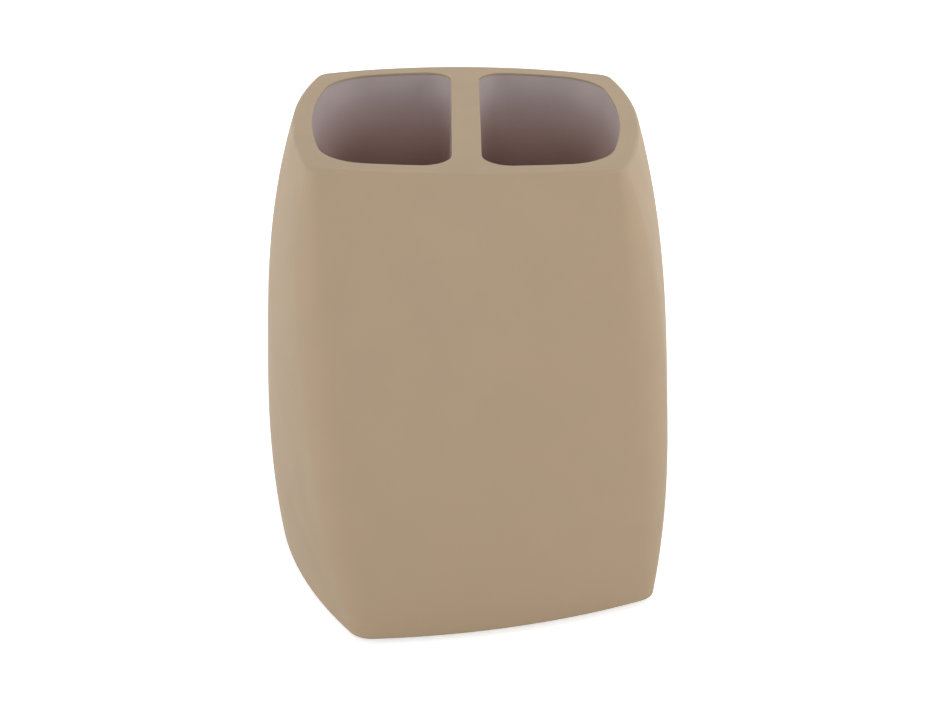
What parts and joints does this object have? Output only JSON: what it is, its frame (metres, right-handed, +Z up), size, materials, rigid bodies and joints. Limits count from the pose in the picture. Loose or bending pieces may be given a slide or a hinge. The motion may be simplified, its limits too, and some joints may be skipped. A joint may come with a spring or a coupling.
{
  "type": "toothbrush holder",
  "caption": "Free-standing holder for toothbrushes: a twisted barrel body with bowed sides, a flat deck split by a centre bar, deep lined wells and soft feet.",
  "frame": {"origin": "middle of the plane that the feet stand on", "axes": "+Z up; the deck's openings are square to X and Y, one on each side of the bar that runs along Y; -Y faces the user"},
  "size_m": [0.0878, 0.0878, 0.105],
  "materials": {
    "tan_shell": "satin",
    "mauve_liner": "satin",
    "tan_base": "matte",
    "soft_foot": "matte"
  },
  "bodies": {
    "root": {"outer_shell": "tan_shell", "twin_well_liner": "mauve_liner", "base_plate": "tan_base", "non_slip_foot_front_left": "soft_foot", "non_slip_foot_front_right": "soft_foot", "non_slip_foot_back_right": "soft_foot", "non_slip_foot_back_left": "soft_foot"}
  },
  "joints": []
}
